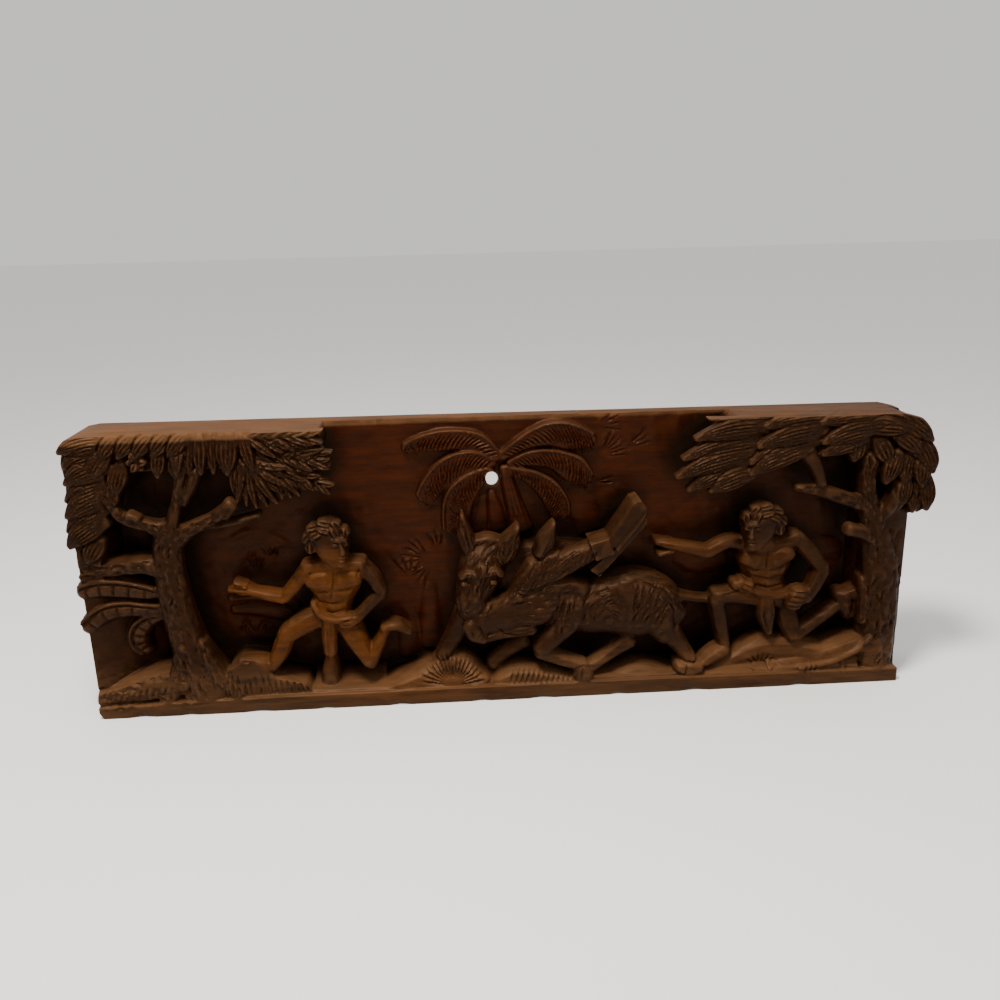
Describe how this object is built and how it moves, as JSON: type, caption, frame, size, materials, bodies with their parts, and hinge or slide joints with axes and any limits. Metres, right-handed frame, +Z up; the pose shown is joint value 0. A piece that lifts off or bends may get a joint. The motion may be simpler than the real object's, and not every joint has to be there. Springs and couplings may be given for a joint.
{
  "type": "carved wall panel",
  "caption": "Long wall panel carved in deep relief from one plank: herdsmen driving carabaos between spreading trees, with a palm behind and a nail hole under its crown.",
  "frame": {"origin": "middle of the flat underside, halfway between the plank's ends and halfway through its full depth", "axes": "+X along the panel to the viewer's right, +Y from the carved side to the flat back, +Z up"},
  "size_m": [0.6962, 0.057, 0.237],
  "materials": {
    "varnished_wood": "satin"
  },
  "bodies": {
    "root": {"carved_panel": "varnished_wood"}
  },
  "joints": []
}
